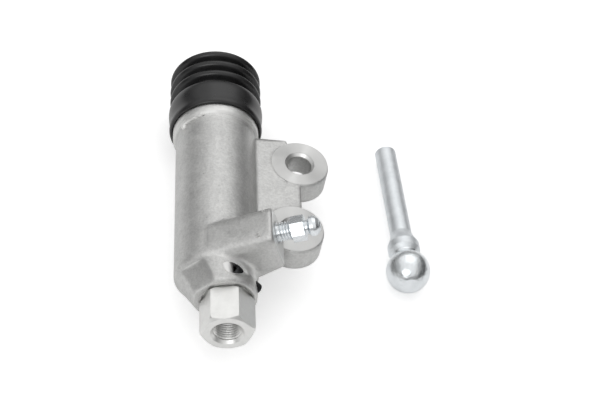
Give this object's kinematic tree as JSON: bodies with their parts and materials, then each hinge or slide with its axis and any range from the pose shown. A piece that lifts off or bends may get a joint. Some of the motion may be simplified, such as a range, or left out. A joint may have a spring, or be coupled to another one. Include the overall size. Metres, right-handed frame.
{
  "type": "clutch slave cylinder",
  "caption": "Cast clutch slave cylinder with bolt ears, rubber boot, hexagon inlet union, bleed screw and a loose ball-ended push rod.",
  "frame": {"origin": "midway between the two bolt holes, on the mounting face of the flange", "axes": "+Z from the mounting face towards the bolt heads, +Y along the bore from the inlet towards the boot, +X from the barrel towards the bolt ears"},
  "size_m": [0.0989, 0.1235, 0.0463],
  "materials": {
    "cast_aluminium": "cast, grainy, machined on the pads",
    "satin_steel": "satin plated",
    "zinc_steel": "bright zinc",
    "black_steel": "black oxide",
    "machined_aluminium": "turned",
    "spring_steel": "bright",
    "seal_rubber": "matte",
    "boot_rubber": "smooth, dull sheen",
    "plastic_seat": "moulded"
  },
  "bodies": {
    "cylinder": {"cylinder_body": "cast_aluminium", "inlet_union": "satin_steel", "union_seal": "seal_rubber", "roll_pin": "black_steel", "return_spring": "spring_steel", "stop_ring": "spring_steel", "boot": "boot_rubber", "push_rod": "zinc_steel"},
    "bleeder": {"bleed_screw": "zinc_steel"},
    "piston_group": {"piston": "machined_aluminium", "rear_seal": "seal_rubber", "pressure_cup": "seal_rubber", "cup_seat": "plastic_seat"}
  },
  "joints": [
    {"name": "piston_slide", "type": "slide", "parent": "cylinder", "child": "piston_group", "axis": [0, -1, 0], "range_m": [0, 0.02], "stiffness_N_per_m": 600, "springref_m": -0.01, "deforming": ["return_spring"]},
    {"name": "bleed_screw_turn", "type": "hinge", "parent": "cylinder", "child": "bleeder", "pos_m": [-0.01071, -0.03205, 0.02435], "axis": [0.9135, 0, 0.4067], "range_deg": [0, 360]}
  ]
}
